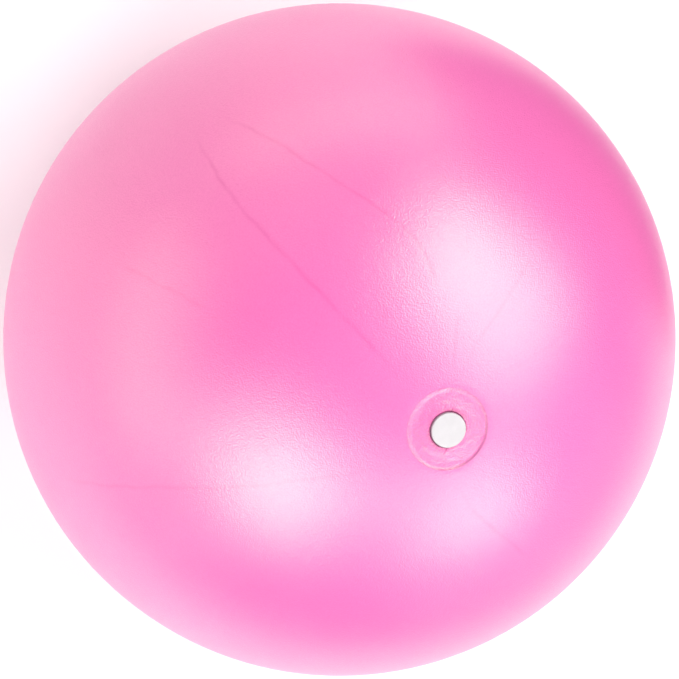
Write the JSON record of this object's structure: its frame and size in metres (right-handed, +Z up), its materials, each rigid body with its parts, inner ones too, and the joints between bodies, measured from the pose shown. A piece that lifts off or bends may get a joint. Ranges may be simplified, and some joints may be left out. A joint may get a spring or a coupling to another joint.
{
  "type": "exercise ball",
  "caption": "Small inflated vinyl exercise ball with a thick moulded valve seat let into its skin and a plug that pulls out of it.",
  "frame": {"origin": "centre of the flat patch that the ball rests on, at floor level, under the ball's centre", "axes": "+Z up, through the ball's centre and along the valve's bore, pointing out of the valve; X and Y are alike"},
  "size_m": [0.25, 0.25, 0.25],
  "materials": {
    "ball_vinyl": "satin, fine-grained soft vinyl, pink",
    "seat_vinyl": "satin soft vinyl, moulded, pink",
    "plug_plastic": "smooth white polyethylene"
  },
  "bodies": {
    "ball": {"ball_skin": "ball_vinyl", "valve_seat": "seat_vinyl"},
    "plug": {"valve_plug": "plug_plastic"}
  },
  "joints": [
    {"name": "plug_slide", "type": "slide", "parent": "ball", "child": "plug", "axis": [0, 0, 1], "range_m": [0, 0.03]}
  ]
}
